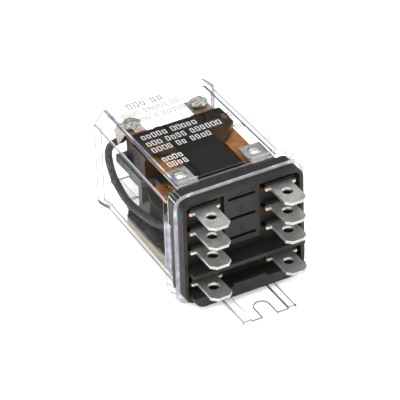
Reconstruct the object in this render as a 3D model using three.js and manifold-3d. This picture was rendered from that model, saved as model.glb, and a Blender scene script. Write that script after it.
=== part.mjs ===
// Plug in power relay: clear dust cover with two mounting tabs, eight blade terminals in a black
// header, a clapper armature hinged at the far end of an L frame, and two changeover poles.
//
// Millimetres, +Z up. The relay lies on its mounting tabs. Every part is first placed from the datum
// plane (y = 0, the front of the terminals' shoulders; +Y runs into the relay), and the finished
// assembly is then shifted so that its origin is the bottom centre of its bounding box.

import * as THREE from 'three';
import { mergeVertices } from 'three/addons/utils/BufferGeometryUtils.js';
import Module from 'manifold-3d';

const wasm = await Module();
wasm.setup();

// ---------------------------------------------------------------- driving dimensions

const GAP = 0.3; // clearance where one piece is cut around another
const REST = 0.1; // clearance where one flat face rests on another

// dust cover
const COVER = { rim: 2.4, collar: 7.8, far: 50, halfWidth: 19.45, height: 35, wall: 1.25, draft: 0.65 };
const TAB = { halfWidth: 8, tip: -13.3, farTip: 62.8, rail: 0.9, panel: 0.5, railInner: 5.4 };
const TAB_SLOT = { halfWidth: 2.1, depth: 4.6 };
const STOP_RIB = { y0: 7.5, y1: 11, z0: 6.7, z1: 21.8, inner: 17.05 };

// header
const HEAD = { halfWidth: 17.9, z0: 1.55, z1: 33.45, corner: 2.8, deep: 2.6, back: 7.2, border: 1.05 };
const POCKET_TOP = 31.6; // upper end of the two columns of pockets
const LEDGE = { front: 1, inner: 7.2, outer: 15.2, above: 1.3, below: 1 };
const CENTRE_PLATE = { halfWidth: 5.2, z0: 15.4, z1: 32.6 };
const SHELF = { front: -2.8, halfWidth: 16.7, top: 12.2, thick: 1.2, floor: 4.7, lipTop: 5.6, lipHalf: 5 };
const SHELF_WALL = 2.6; // y of the wall behind the shelves

// terminals, 6.35 x 0.81 quick-connect blades
const BLADE = { width: 6.35, thick: 0.81, tip: -9, chamfer: 1.4, hole: 1.55, holeY: -3.4 };
const SHOULDER = { width: 9.2, depth: 2.2 };
const COLUMN = 11.26; // distance of each blade column from the centre
const ROW = { closed: 29.7, open: 23.5, common: 17.4, coil: 7.2 }; // height of each blade row
const TAIL_WIDTH = 6.3;

// contacts and moving arms
const CONTACT = { x: 11.15, y: 14.3, shank: 1, head: 1.9 };
const CLOSED_PLATE = { top: 32.5, riserY: 8.7, end: 17.3 };
const OPEN_PLATE = { top: 26.9, riserY: 9.4, end: 20 };
const WING = { outer: 16.2, near: 12.5, holeX: 12.7, holeY: 18.4, hole: 0.7 }; // side of an open plate
const ARM = { x0: 7.3, x1: 13.1, bottom: 29.85, thick: 0.35, near: 10.9, far: 46.8 };
const EAR = { near: 41.5, far: 46.5, tipY: 43.7, tipZ: 26, cornerY: 47.3, cornerZ: 28.4, lean: 0.27 };
const HEAD_RISE = 0.62; // height of a contact's head

// armature, carrier and frame
const HINGE = { y: 43.4, z: 19.35 }; // the armature rocks on the top of the frame's leg
const ARMATURE = { z0: 19.5, z1: 21.9, wide: 14.3, narrow: 10.5, step: 31, near: 15, tail: 47.2 };
const CARRIER = { bar: 5.8, block: 13.4, z0: 22.2, top: 32.2, barBottom: 28.3, near: 10.9, far: 39 };
const CARRIER_BEVEL = 1.5; // along the carrier's far upper edge
const SKIRT = { inner: 10.5, outer: 12.4, far: 42.5, top: 28.9 }; // under the arms, behind the carrier
const PIN_MARK = { x: 10.7, y: 36.4, radius: 1, depth: 0.2 };
const CARRIER_RIVET = { x: 5.6, y: 35.9, shank: 1.1, head: 2.1 };
const FRAME = { halfWidth: 8.5, z0: 2.9, thick: 1.8, leg: 2, flangeHalf: 6.4, flangeY: 7.5, flangeTop: 14 };
const SCREW = { x: 4, z: 10.4, shank: 1.2, head: 2.3, depth: 4 };

// coil, standing on its base around the vertical core
const COIL = { y: 25.5, radius: 13.5, z0: 7.9, z1: 17.6, flange: 1, tube: 5.2, core: 4.1, stub: 2.6 };
const WINDING = { radius: 12.3, tapeInner: 12.6, tapeOuter: 13.1, clear: 0.2 };
const BASE = { halfWidth: 16.1, y0: 14.3, y1: 39.5, z0: 3.6, z1: 7.6, corner: 4, chamfer: 1.2 };
const BASE_FLANGE = { top: 6.9, upperHalf: 14 }; // the base is widest below this height
const WRAP = { inner: 14.3, outer: 16.2, y0: 15.6, y1: 36.6, z0: 7.2, z1: 10.8, corner: 0.9 };
const POLE_TOP = 18.2;

// flexible leads and spring
const PIGTAIL_RADIUS = 1.05;
const COIL_WIRE_RADIUS = 0.3;
const SOLDER = { x: 10.2, y: 43.6, across: 2.7, along: 2.5, high: 1.15 };
const SPRING = { y: 46.1, radius: 1.1, wire: 0.3, z0: 9.4, z1: 19.2 };

const CENTRE_Y = (TAB.tip + TAB.farTip) / 2;

// ---------------------------------------------------------------- shape helpers

function box(x0, x1, y0, y1, z0, z1) {
  const geometry = new THREE.BoxGeometry(Math.abs(x1 - x0), y1 - y0, z1 - z0);
  return geometry.translate((x0 + x1) / 2, (y0 + y1) / 2, (z0 + z1) / 2);
}

// A closed shape in X and Y, extruded upwards from z0 to z1.
function slab(shape, z0, z1, curveSegments = 8) {
  const options = { depth: z1 - z0, bevelEnabled: false, curveSegments };
  return new THREE.ExtrudeGeometry(shape, options).translate(0, 0, z0);
}

// A closed shape in X and Z, extruded along +Y from y0 to y1.
function slabAlongY(shape, y0, y1, curveSegments = 6) {
  const options = { depth: y1 - y0, bevelEnabled: false, curveSegments };
  return new THREE.ExtrudeGeometry(shape, options).rotateX(Math.PI / 2).translate(0, y1, 0);
}

// A closed shape drawn as (y, z), extruded along X from x0 to x1.
function slabAlongX(shape, x0, x1) {
  const options = { depth: x1 - x0, bevelEnabled: false };
  const geometry = new THREE.ExtrudeGeometry(shape, options);
  return geometry.rotateX(Math.PI / 2).rotateZ(Math.PI / 2).translate(x0, 0, 0);
}

function polygon(points) {
  return new THREE.Shape(points.map(([a, b]) => new THREE.Vector2(a, b)));
}

function roundedRectangle(x0, x1, y0, y1, radius) {
  const shape = new THREE.Shape();
  shape.absarc(x1 - radius, y0 + radius, radius, -Math.PI / 2, 0);
  shape.absarc(x1 - radius, y1 - radius, radius, 0, Math.PI / 2);
  shape.absarc(x0 + radius, y1 - radius, radius, Math.PI / 2, Math.PI);
  shape.absarc(x0 + radius, y0 + radius, radius, Math.PI, Math.PI * 1.5);
  return shape;
}

function chamferedRectangle(x0, x1, y0, y1, leg) {
  return polygon([
    [x0 + leg, y0], [x1 - leg, y0], [x1, y0 + leg], [x1, y1 - leg], [x1 - leg, y1], [x0 + leg, y1],
    [x0, y1 - leg], [x0, y0 + leg],
  ]);
}

// A solid of revolution about a vertical axis at (x, y); the profile is a list of (radius, z).
function turned(profile, x, y, segments = 20) {
  const points = profile.map(([radius, z]) => new THREE.Vector2(radius, z));
  return new THREE.LatheGeometry(points, segments).rotateX(Math.PI / 2).translate(x, y, 0);
}

function ring(inner, outer, z0, z1, x, y, segments = 40) {
  return turned([[inner, z0], [outer, z0], [outer, z1], [inner, z1], [inner, z0]], x, y, segments);
}

function disc(radius, z0, z1, x, y, segments = 20) {
  return turned([[0, z0], [radius, z0], [radius, z1], [0, z1]], x, y, segments);
}

// A solid of revolution about an axis along Y at (x, z); the profile is a list of (radius, y).
function turnedAlongY(profile, x, z, segments = 20) {
  const points = profile.map(([radius, y]) => new THREE.Vector2(radius, y));
  return new THREE.LatheGeometry(points, segments).translate(x, 0, z);
}

function discAlongY(radius, y0, y1, x, z, segments = 20) {
  return turnedAlongY([[0, y0], [radius, y0], [radius, y1], [0, y1]], x, z, segments);
}

// A headed rivet: shank with a lower and an upper head; each head has a chamfered edge.
function rivet(x, y, levels, shank, head) {
  const [z0, z1, z2, z3] = levels;
  const ease = 0.25;
  return turned([
    [0, z0], [head - ease, z0], [head, z0 + ease], [head, z1], [shank, z1],
    [shank, z2], [head, z2], [head, z3 - ease], [head - ease, z3], [0, z3],
  ], x, y, 16);
}

// A round wire or sleeve along a smooth path through the points.
function tube(points, radius, steps, sides) {
  const path = new THREE.CatmullRomCurve3(points.map((p) => new THREE.Vector3(...p)));
  const section = polygon(Array.from({ length: sides }, (_, i) => {
    const angle = (2 * Math.PI * i) / sides;
    return [radius * Math.cos(angle), radius * Math.sin(angle)];
  }));
  const options = { steps, extrudePath: path, bevelEnabled: false };
  return new THREE.ExtrudeGeometry(section, options);
}

// A lofted solid through closed rings that all have the same number of points, with flat ends.
function loft(rings) {
  const count = rings[0].length;
  const positions = rings.flat().flatMap((p) => p);
  const indices = [];
  for (let r = 0; r + 1 < rings.length; r += 1) {
    for (let i = 0; i < count; i += 1) {
      const a = r * count + i;
      const b = r * count + ((i + 1) % count);
      indices.push(a, a + count, b, b, a + count, b + count);
    }
  }
  const first = 0;
  const last = (rings.length - 1) * count;
  for (let i = 1; i + 1 < count; i += 1) {
    indices.push(first, first + i, first + i + 1);
    indices.push(last, last + i + 1, last + i);
  }
  const geometry = new THREE.BufferGeometry();
  geometry.setAttribute('position', new THREE.Float32BufferAttribute(positions, 3));
  geometry.setIndex(indices);
  return geometry;
}

// ---------------------------------------------------------------- booleans

function toSolid(geometry) {
  const bare = geometry.clone();
  bare.deleteAttribute('normal');
  bare.deleteAttribute('uv');
  const merged = mergeVertices(bare, 1e-4);
  return new wasm.Manifold(new wasm.Mesh({
    numProp: 3,
    vertProperties: new Float32Array(merged.attributes.position.array),
    triVerts: new Uint32Array(merged.index.array),
  }));
}

function toGeometry(solid) {
  const mesh = solid.getMesh();
  const geometry = new THREE.BufferGeometry();
  geometry.setAttribute('position', new THREE.BufferAttribute(mesh.vertProperties, 3));
  geometry.setIndex(new THREE.BufferAttribute(mesh.triVerts, 1));
  return geometry;
}

function combine(added, removed = []) {
  const whole = added.map(toSolid).reduce((sum, solid) => sum.add(solid));
  return toGeometry(removed.map(toSolid).reduce((rest, tool) => rest.subtract(tool), whole));
}

function common(a, b) {
  return toGeometry(toSolid(a).intersect(toSolid(b)));
}

// ---------------------------------------------------------------- materials and assembly

const FINISH = {
  clear: { color: 0xe8ecf2, roughness: 0.05, metalness: 0 },
  charcoal: { color: 0x2c2d2b, roughness: 0.55, metalness: 0 },
  black: { color: 0x151513, roughness: 0.5, metalness: 0 },
  tinned: { color: 0x9a9893, roughness: 0.38, metalness: 1 },
  silver: { color: 0xd8d8d4, roughness: 0.25, metalness: 1 },
  copper: { color: 0x9a5a32, roughness: 0.35, metalness: 1 },
  steel: { color: 0x5a5a58, roughness: 0.5, metalness: 1 },
  wire: { color: 0x7a3c1c, roughness: 0.4, metalness: 1 },
  tape: { color: 0x1c1b19, roughness: 0.8, metalness: 0 },
  beige: { color: 0xa8a288, roughness: 0.6, metalness: 0 },
  sleeve: { color: 0x1a1a1a, roughness: 0.7, metalness: 0 },
};

const assembly = new THREE.Group();

function addPart(name, geometry, finish) {
  const mesh = new THREE.Mesh(geometry, new THREE.MeshStandardMaterial(FINISH[finish]));
  mesh.name = name;
  assembly.add(mesh);
}

// The two poles mirror each other; side is -1 for the left one and 1 for the right one.
const SIDES = [['left', -1], ['right', 1]];

// ---------------------------------------------------------------- dust cover

// One corner of a cover ring: from a straight cut (bulge 0) to a quarter ellipse (bulge 1).
function cornerPoints(cx, cz, legX, legZ, startAngle, bulge, steps = 4) {
  const points = [];
  for (let i = 0; i <= steps; i += 1) {
    const t = i / steps;
    const angle = startAngle + t * Math.PI / 2;
    const arc = [Math.cos(angle), Math.sin(angle)];
    const from = [Math.cos(startAngle), Math.sin(startAngle)];
    const to = [Math.cos(startAngle + Math.PI / 2), Math.sin(startAngle + Math.PI / 2)];
    const mix = (k) => bulge * arc[k] + (1 - bulge) * (from[k] * (1 - t) + to[k] * t);
    points.push([cx + legX * mix(0), cz + legZ * mix(1)]);
  }
  return points;
}

function coverRing(y, halfWidth, z0, z1, leg, bulge) {
  const x = halfWidth - leg;
  const corners = [
    [x, z0 + leg, -Math.PI / 2], [x, z1 - leg, 0], [-x, z1 - leg, Math.PI / 2], [-x, z0 + leg, Math.PI],
  ];
  return corners.flatMap(([cx, cz, start]) => cornerPoints(cx, cz, leg, leg, start, bulge))
    .map(([px, pz]) => [px, y, pz]);
}

// The shell's outer surface, or its inner one when inset is the wall thickness.
function coverSurface(inset) {
  const half = COVER.halfWidth - inset;
  const step = 0.4; // how far the body stands back from the collar
  const top = COVER.height - inset;
  const draft = COVER.draft;
  const back = step + draft; // how far the far end stands back from the collar
  const ease = 0.35; // chamfer around the far end
  const end = COVER.far - inset;
  const leg = 3.9 - inset * 0.6;
  const narrower = 0.5; // how much smaller the corner cuts are at the far end
  const open = inset > 0 ? 1 : 0; // the cavity runs out through the rim
  return loft([
    coverRing(COVER.rim - open, half, inset, top, 4 - inset, 1),
    coverRing(COVER.collar, half, inset, top, 4 - inset, 1),
    coverRing(COVER.collar + 0.8, half - step, inset + step, top - step, leg, 0.2),
    coverRing(end - ease, half - back, inset + back + draft, top - back, leg - narrower, 0.2),
    coverRing(end, half - back - ease, inset + back + draft + ease, top - back - ease, leg - narrower, 0.2),
  ]);
}

// A tab's flat panel with a stiffening rail along each side; root and tip are its two ends.
function tab(root, tip) {
  const [y0, y1] = root < tip ? [root, tip] : [tip, root];
  return [
    box(-TAB.halfWidth, TAB.halfWidth, y0, y1, 0, TAB.panel),
    box(-TAB.halfWidth, -TAB.railInner, y0, y1, 0, TAB.rail),
    box(TAB.railInner, TAB.halfWidth, y0, y1, 0, TAB.rail),
  ];
}

// The U-shaped slot that opens at a tab's tip; inward is the direction towards the relay.
function tabSlot(tip, inward) {
  const arcY = tip + inward * TAB_SLOT.depth;
  const [y0, y1] = inward > 0 ? [tip - 1, arcY] : [arcY, tip + 1];
  return [
    box(-TAB_SLOT.halfWidth, TAB_SLOT.halfWidth, y0, y1, -1, 2),
    disc(TAB_SLOT.halfWidth, -1, 2, 0, arcY, 24),
  ];
}

function dustCover() {
  const shell = combine([coverSurface(0)], [coverSurface(COVER.wall)]);
  const midway = 20;
  const strip = [
    box(-TAB.halfWidth, TAB.halfWidth, COVER.rim, midway, 0, 1.1),
    box(-TAB.halfWidth, TAB.halfWidth, midway, COVER.far + 1.2, 0, 1.7),
  ];
  const ribs = SIDES.map(([, side]) => box(
    side * STOP_RIB.inner, side * (COVER.halfWidth - 1), STOP_RIB.y0, STOP_RIB.y1, STOP_RIB.z0, STOP_RIB.z1,
  ));
  return combine(
    [shell, ...strip, ...tab(COVER.rim + 0.5, TAB.tip), ...tab(COVER.far, TAB.farTip), ...ribs],
    [...tabSlot(TAB.tip, 1), ...tabSlot(TAB.farTip, -1)],
  );
}

// ---------------------------------------------------------------- header

// Clearance cut for a terminal's flat body through the header at one column and row.
function bladePassage(side, z) {
  const half = SHOULDER.width / 2 + GAP;
  const x = side * COLUMN;
  const thick = BLADE.thick / 2 + GAP;
  return box(x - half, x + half, -4, HEAD.back + 1, z - thick, z + thick);
}

function headerFront() {
  const outline = roundedRectangle(-HEAD.halfWidth, HEAD.halfWidth, HEAD.z0, HEAD.z1, HEAD.corner);
  const border = outline.clone();
  border.holes.push(roundedRectangle(
    -HEAD.halfWidth + HEAD.border, HEAD.halfWidth - HEAD.border,
    HEAD.z0 + HEAD.border, HEAD.z1 - HEAD.border, HEAD.corner - HEAD.border,
  ));
  const join = 0.2; // how far neighbouring lumps of the moulding run into each other
  const back = HEAD.deep + join;
  const parts = [
    slabAlongY(outline, HEAD.deep, HEAD.back),
    slabAlongY(border, 0, back),
    box(-CENTRE_PLATE.halfWidth, CENTRE_PLATE.halfWidth, LEDGE.front, back, CENTRE_PLATE.z0,
      CENTRE_PLATE.z1),
    box(-HEAD.halfWidth + 1, HEAD.halfWidth - 1, SHELF_WALL, back, POCKET_TOP, HEAD.z1 - 0.5),
    box(-SHELF.halfWidth, SHELF.halfWidth, SHELF_WALL, back, SHELF.top - join, CENTRE_PLATE.z0 + join),
    box(-SHELF.halfWidth, SHELF.halfWidth, SHELF.front, back, SHELF.top - SHELF.thick, SHELF.top),
    box(-SHELF.lipHalf, SHELF.lipHalf, SHELF.front, SHELF.front + 1, SHELF.floor - join, SHELF.lipTop),
  ];
  for (const [, side] of SIDES) {
    for (const z of [ROW.closed, ROW.open, ROW.common, ROW.coil]) {
      parts.push(box(
        side * LEDGE.inner, side * LEDGE.outer, z === ROW.coil ? SHELF_WALL - 0.8 : LEDGE.front, back,
        z - LEDGE.below, z + LEDGE.above,
      ));
    }
  }
  return parts;
}

// The part of the moulding behind the front plate: a top shelf, two cheeks and two feet, all inside
// the cover's chamfered corners.
function headerRear() {
  const start = HEAD.back - 0.2;
  const envelope = slabAlongY(chamferedRectangle(-17.2, 17.2, 2.3, CLOSED_PLATE.top, 3.1), start, 20);
  const parts = [box(-17.2, 17.2, start, 9.6, 26, CLOSED_PLATE.top)];
  for (const [, side] of SIDES) {
    const cheek = polygon([[start, 8], [11.6, 8], [13.6, 12], [13.6, 21], [10.4, 25.5], [start, 26.4]]);
    const [x0, x1] = side < 0 ? [-16.8, -15.2] : [15.2, 16.8];
    parts.push(slabAlongX(cheek, x0, x1));
    parts.push(box(side * 11, side * 17.2, start, 12.4, 2.3, 5));
  }
  return common(combine(parts), envelope);
}

// The floor under the coil terminals, with the bay above it left open.
function coilBay() {
  const half = SHELF.halfWidth;
  const block = roundedRectangle(-half, half, HEAD.z0, SHELF.top - SHELF.thick, 3.2);
  const opening = roundedRectangle(-half - 1, half + 1, SHELF.floor, SHELF.top, 0.4);
  return combine(
    [slabAlongY(block, SHELF.front, HEAD.deep + 0.2)],
    [slabAlongY(opening, SHELF.front - 1, SHELF_WALL)],
  );
}

function header() {
  const slit = { halfWidth: 4, halfHeight: 0.45, depth: 5.2 }; // blind slits in the centre plate
  const cuts = [];
  for (const [, side] of SIDES) {
    for (const z of Object.values(ROW)) cuts.push(bladePassage(side, z));
    const x = side * CONTACT.x;
    const half = TAIL_WIDTH / 2 + GAP;
    cuts.push(box(x - half, x + half, HEAD.back - 0.1, 10, ROW.closed - 0.9, 34));
    cuts.push(discAlongY(SCREW.shank + GAP, HEAD.back - SCREW.depth, 10, side * SCREW.x, SCREW.z));
  }
  for (const z of [ROW.closed, ROW.open, ROW.common]) {
    cuts.push(box(
      -slit.halfWidth, slit.halfWidth, LEDGE.front - 1, LEDGE.front + slit.depth, z - slit.halfHeight,
      z + slit.halfHeight,
    ));
  }
  return combine([...headerFront(), coilBay(), headerRear()], cuts);
}

// ---------------------------------------------------------------- terminals

// Blade, shoulders and straight body of a terminal at height z; reach is where its body ends inside.
function bladeBody(side, z, reach) {
  const half = BLADE.width / 2;
  const wing = SHOULDER.width / 2;
  const round = 0.55;
  const tail = TAIL_WIDTH / 2;
  const shape = new THREE.Shape();
  shape.moveTo(-half + BLADE.chamfer, BLADE.tip);
  shape.lineTo(half - BLADE.chamfer, BLADE.tip);
  shape.lineTo(half, BLADE.tip + BLADE.chamfer);
  shape.lineTo(half, 0);
  shape.absarc(wing - round, round, round, -Math.PI / 2, Math.PI / 2);
  shape.lineTo(tail, SHOULDER.depth);
  shape.lineTo(tail, reach);
  shape.lineTo(-tail, reach);
  shape.lineTo(-tail, SHOULDER.depth);
  shape.absarc(-wing + round, round, round, Math.PI / 2, Math.PI * 1.5);
  shape.lineTo(-half, 0);
  shape.lineTo(-half, BLADE.tip + BLADE.chamfer);
  const hole = new THREE.Path();
  hole.absarc(0, BLADE.holeY, BLADE.hole, 0, Math.PI * 2, true);
  shape.holes.push(hole);
  return slab(shape, z - BLADE.thick / 2, z + BLADE.thick / 2).translate(side * COLUMN, 0, 0);
}

// A terminal whose inner end rises to a contact plate that has a hole for its contact.
function contactTerminal(side, z, plate) {
  const t = BLADE.thick;
  const half = TAIL_WIDTH / 2;
  const x = side * CONTACT.x;
  const slope = 0.5;
  const profile = polygon([
    [SHOULDER.depth, z - t / 2], [plate.riserY + slope, z - t / 2],
    [plate.riserY + slope + t, plate.top - t], [plate.end, plate.top - t], [plate.end, plate.top],
    [plate.riserY + slope, plate.top], [plate.riserY, z + t / 2], [SHOULDER.depth, z + t / 2],
  ]);
  const parts = [bladeBody(side, z, SHOULDER.depth + 1), slabAlongX(profile, x - half, x + half)];
  const cuts = [disc(CONTACT.shank + GAP, plate.top - 2, plate.top + 1, x, CONTACT.y)];
  if (plate === OPEN_PLATE) {
    const inner = CONTACT.x + half - 0.2;
    parts.push(box(side * inner, side * WING.outer, WING.near, plate.end, plate.top - t, plate.top));
    cuts.push(disc(WING.hole, plate.top - 2, plate.top + 1, side * WING.holeX, WING.holeY, 12));
  }
  return combine(parts, cuts);
}

function terminals() {
  const numbers = { left: ['1', '4', '7', 'a'], right: ['3', '6', '9', 'b'] };
  for (const [name, side] of SIDES) {
    const [closed, open, common, coil] = numbers[name];
    addPart(`terminal_${closed}_closed`, contactTerminal(side, ROW.closed, CLOSED_PLATE), 'tinned');
    addPart(`terminal_${open}_open`, contactTerminal(side, ROW.open, OPEN_PLATE), 'tinned');
    addPart(`terminal_${common}_common`, bladeBody(side, ROW.common, 13.2), 'tinned');
    addPart(`terminal_${coil}_coil`, bladeBody(side, ROW.coil, 12.6), 'tinned');
  }
}

// ---------------------------------------------------------------- contacts, arms and leads

function contactSet(name, side) {
  const x = side * CONTACT.x;
  const { y, shank, head } = CONTACT;
  const armTop = ARM.bottom + ARM.thick;
  const movingTop = armTop + REST / 2 + HEAD_RISE;
  const movingBottom = ARM.bottom - REST / 2 - HEAD_RISE;
  const closedUnder = CLOSED_PLATE.top - BLADE.thick - REST / 2;
  const closedTop = CLOSED_PLATE.top + REST / 2;
  const openTop = OPEN_PLATE.top + REST / 2;
  const openUnder = OPEN_PLATE.top - BLADE.thick - REST / 2;
  addPart(`closed_contact_${name}`, rivet(x, y, [movingTop + REST, closedUnder, closedTop, closedTop + 0.5],
    shank, head), 'silver');
  addPart(`open_contact_${name}`, rivet(x, y, [openUnder - 0.6, openUnder, openTop, openTop + HEAD_RISE],
    shank, head), 'silver');
  addPart(`moving_contact_${name}`, rivet(x, y, [movingBottom, ARM.bottom - REST / 2, armTop + REST / 2,
    movingTop], shank, head), 'silver');
}

// The ear folded down at an arm's far outer corner, leaning outwards from the fold.
function armEar(side) {
  const fold = ARM.bottom + ARM.thick;
  const outline = polygon([
    [EAR.near, fold], [EAR.tipY, EAR.tipZ], [EAR.cornerY, EAR.cornerZ], [EAR.far, fold],
  ]);
  const [x0, x1] = side < 0 ? [-ARM.x1, ARM.thick - ARM.x1] : [ARM.x1 - ARM.thick, ARM.x1];
  const lean = new THREE.Matrix4().makeShear(0, 0, 0, 0, -side * EAR.lean, 0);
  return slabAlongX(outline, x0, x1).translate(0, 0, -fold).applyMatrix4(lean).translate(0, 0, fold);
}

// A copper leaf with a stiffening lip along its inner edge, a folded ear at its far outer corner and a
// hole for the moving contact.
function contactArm(side) {
  const [x0, x1] = [side * ARM.x0, side * ARM.x1];
  const top = ARM.bottom + ARM.thick;
  const nose = 1.6;
  const leaf = polygon([
    [x0, ARM.near], [x1 - side * nose, ARM.near], [x1, ARM.near + nose], [x1, ARM.far], [x0, ARM.far],
  ]);
  return combine([
    slab(leaf, ARM.bottom, top),
    armEar(side),
    box(x0, x0 + side * ARM.thick, ARM.near + 0.4, 24, top - 0.1, top + 0.8),
  ], [disc(CONTACT.shank + GAP, ARM.bottom - 1, top + 1, side * CONTACT.x, CONTACT.y)]);
}

// Solder over the arm's far end, where the flexible lead joins it.
function solderJoint(side) {
  const { x, y, across, along, high } = SOLDER;
  const lump = new THREE.SphereGeometry(1, 16, 10).rotateX(Math.PI / 2).scale(across, along, high);
  return lump.translate(side * x, y, ARM.bottom + ARM.thick + REST / 2 + high);
}

// The flexible lead from under a moving arm's far end, round the side of the coil, to the common
// terminal.
function pigtail(side) {
  const route = [
    [12, 44, 27.9], [12.4, 44.9, 26.6], [13.4, 46, 25.4], [14.8, 46.9, 24.1], [15.6, 47.2, 21.9],
    [15.7, 46.6, 18.8], [15.7, 44.6, 15.7], [15.6, 41.4, 13.4], [15.6, 37, 12.2], [15.6, 31.5, 12.4],
    [15.5, 25.5, 13.4], [15.3, 20.5, 14.6], [14.2, 16.8, 15.4], [12.4, 14.9, 15.6],
  ];
  return tube(route.map(([x, y, z]) => [side * x, y, z]), PIGTAIL_RADIUS, 30, 10);
}

function coilLead(side) {
  const route = [
    [11.5, 12.95, 7.3], [11.6, 13.6, 9], [11.4, 13.8, 11], [10.8, 14.6, 12.6], [9.9, 15, 13.4],
  ];
  return tube(route.map(([x, y, z]) => [side * x, y, z]), COIL_WIRE_RADIUS, 10, 8);
}

// ---------------------------------------------------------------- carrier and armature

function carrier() {
  const outline = polygon([
    [-CARRIER.bar, CARRIER.near], [CARRIER.bar, CARRIER.near], [CARRIER.bar, 22],
    [CARRIER.block, 29.7], [CARRIER.block, 36.6], [12.4, CARRIER.far], [-12.4, CARRIER.far],
    [-CARRIER.block, 36.6], [-CARRIER.block, 29.7], [-CARRIER.bar, 22],
  ]);
  const cuts = [box(-20, 20, 0, 30, 0, CARRIER.barBottom)];
  for (const [, side] of SIDES) {
    cuts.push(box(side * (ARM.x0 - GAP), side * 20, 0, 50, ARM.bottom - GAP, ARM.bottom + ARM.thick + GAP));
    cuts.push(box(side * (ARM.x0 - GAP), side * 8.2, 0, 25, ARM.bottom - GAP, ARM.bottom + 1.5));
    const { x, y, shank, head } = CARRIER_RIVET;
    cuts.push(disc(shank + GAP, 20, 40, side * x, y));
    cuts.push(disc(head + GAP, CARRIER.top - 0.8, 40, side * x, y));
  }
  for (const x of [-PIN_MARK.x, 0, PIN_MARK.x]) {
    cuts.push(disc(PIN_MARK.radius, CARRIER.top - PIN_MARK.depth, 40, x, PIN_MARK.y, 16));
  }
  const { near, far, z0, top } = CARRIER;
  const bevel = CARRIER_BEVEL;
  const profile = polygon([[near, z0], [far, z0], [far, top - bevel], [far - bevel, top], [near, top]]);
  const block = common(slab(outline, z0, top), slabAlongX(profile, -20, 20));
  const skirts = SIDES.map(([, side]) => box(
    side * SKIRT.inner, side * SKIRT.outer, far - 0.5, SKIRT.far, z0, SKIRT.top,
  ));
  return combine([block, ...skirts], cuts);
}

function carrierRivet(side) {
  const { x, y, shank, head } = CARRIER_RIVET;
  const top = CARRIER.top - 0.1;
  return turned([[0, ARMATURE.z0 + 0.1], [shank, ARMATURE.z0 + 0.1], [shank, top - 0.6], [head, top - 0.6],
    [head, top], [0, top]], side * x, y);
}

function armature() {
  const { wide, narrow, step, near, tail } = ARMATURE;
  const notch = SPRING.radius + SPRING.wire + GAP;
  const outline = polygon([
    [-narrow, near], [narrow, near], [narrow, step - 1], [wide, step], [wide, 45.4], [6, 45.4], [5, tail],
    [-5, tail], [-6, 45.4], [-wide, 45.4], [-wide, step], [-narrow, step - 1],
  ]);
  return combine([slab(outline, ARMATURE.z0, ARMATURE.z1)], [
    box(-0.5, 0.5, SPRING.y - notch, SPRING.y + 0.4, ARMATURE.z0 - 1, ARMATURE.z1 + 1),
    ...SIDES.map(([, side]) => disc(CARRIER_RIVET.shank + GAP, ARMATURE.z0 - 1, ARMATURE.z1 + 1,
      side * CARRIER_RIVET.x, CARRIER_RIVET.y)),
  ]);
}

// ---------------------------------------------------------------- frame, coil and spring

// An L bent from plate: a foot under the coil, an upright leg at the far end and a screwed flange.
function frame() {
  const { halfWidth, z0, thick, leg, flangeHalf, flangeY, flangeTop } = FRAME;
  const [legNear, legFar] = [HINGE.y - leg / 2, HINGE.y + leg / 2];
  const waist = 13; // y where the foot widens behind the flange
  const hook = { half: 1.4, thick: 0.8 };
  const hookTop = SPRING.z0 - 0.6;
  const parts = [
    box(-halfWidth, halfWidth, waist, legFar, z0, z0 + thick),
    box(-flangeHalf, flangeHalf, flangeY, waist + 0.5, z0, z0 + thick),
    box(-flangeHalf, flangeHalf, flangeY, flangeY + thick, z0, flangeTop),
    box(-halfWidth, halfWidth, legNear, legFar, z0, HINGE.z - REST),
    box(-hook.half, hook.half, legFar - 0.2, SPRING.y + 1, hookTop - hook.thick, hookTop),
  ];
  const cuts = [disc(COIL.stub + GAP, z0 - 1, z0 + thick + 1, 0, COIL.y)];
  for (const [, side] of SIDES) {
    cuts.push(discAlongY(SCREW.shank + GAP, flangeY - 1, flangeY + thick + 1, side * SCREW.x, SCREW.z));
  }
  return combine(parts, cuts);
}

function frameScrew(side) {
  const face = FRAME.flangeY + FRAME.thick + REST;
  const { shank, head } = SCREW;
  const start = HEAD.back - SCREW.depth + GAP;
  const profile = [
    [0, start], [shank, start], [shank, face], [head, face], [head, face + 1], [1.7, face + 1.5],
    [0, face + 1.5],
  ];
  return turnedAlongY(profile, side * SCREW.x, SCREW.z);
}

function core() {
  const stub = COIL.stub;
  const top = FRAME.z0 + FRAME.thick + REST;
  return turned([
    [0, FRAME.z0], [stub, FRAME.z0], [stub, top], [COIL.core, top], [COIL.core, POLE_TOP - 0.4],
    [COIL.core - 0.4, POLE_TOP], [0, POLE_TOP],
  ], 0, COIL.y, 28);
}

function bobbin() {
  const { y, radius, z0, z1, flange, tube: outer, core: bore } = COIL;
  const inner = bore + GAP;
  return turned([
    [inner, z0], [radius, z0], [radius, z0 + flange], [outer, z0 + flange], [outer, z1 - flange],
    [radius, z1 - flange], [radius, z1], [inner, z1], [inner, z0],
  ], 0, y, 40);
}

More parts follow.
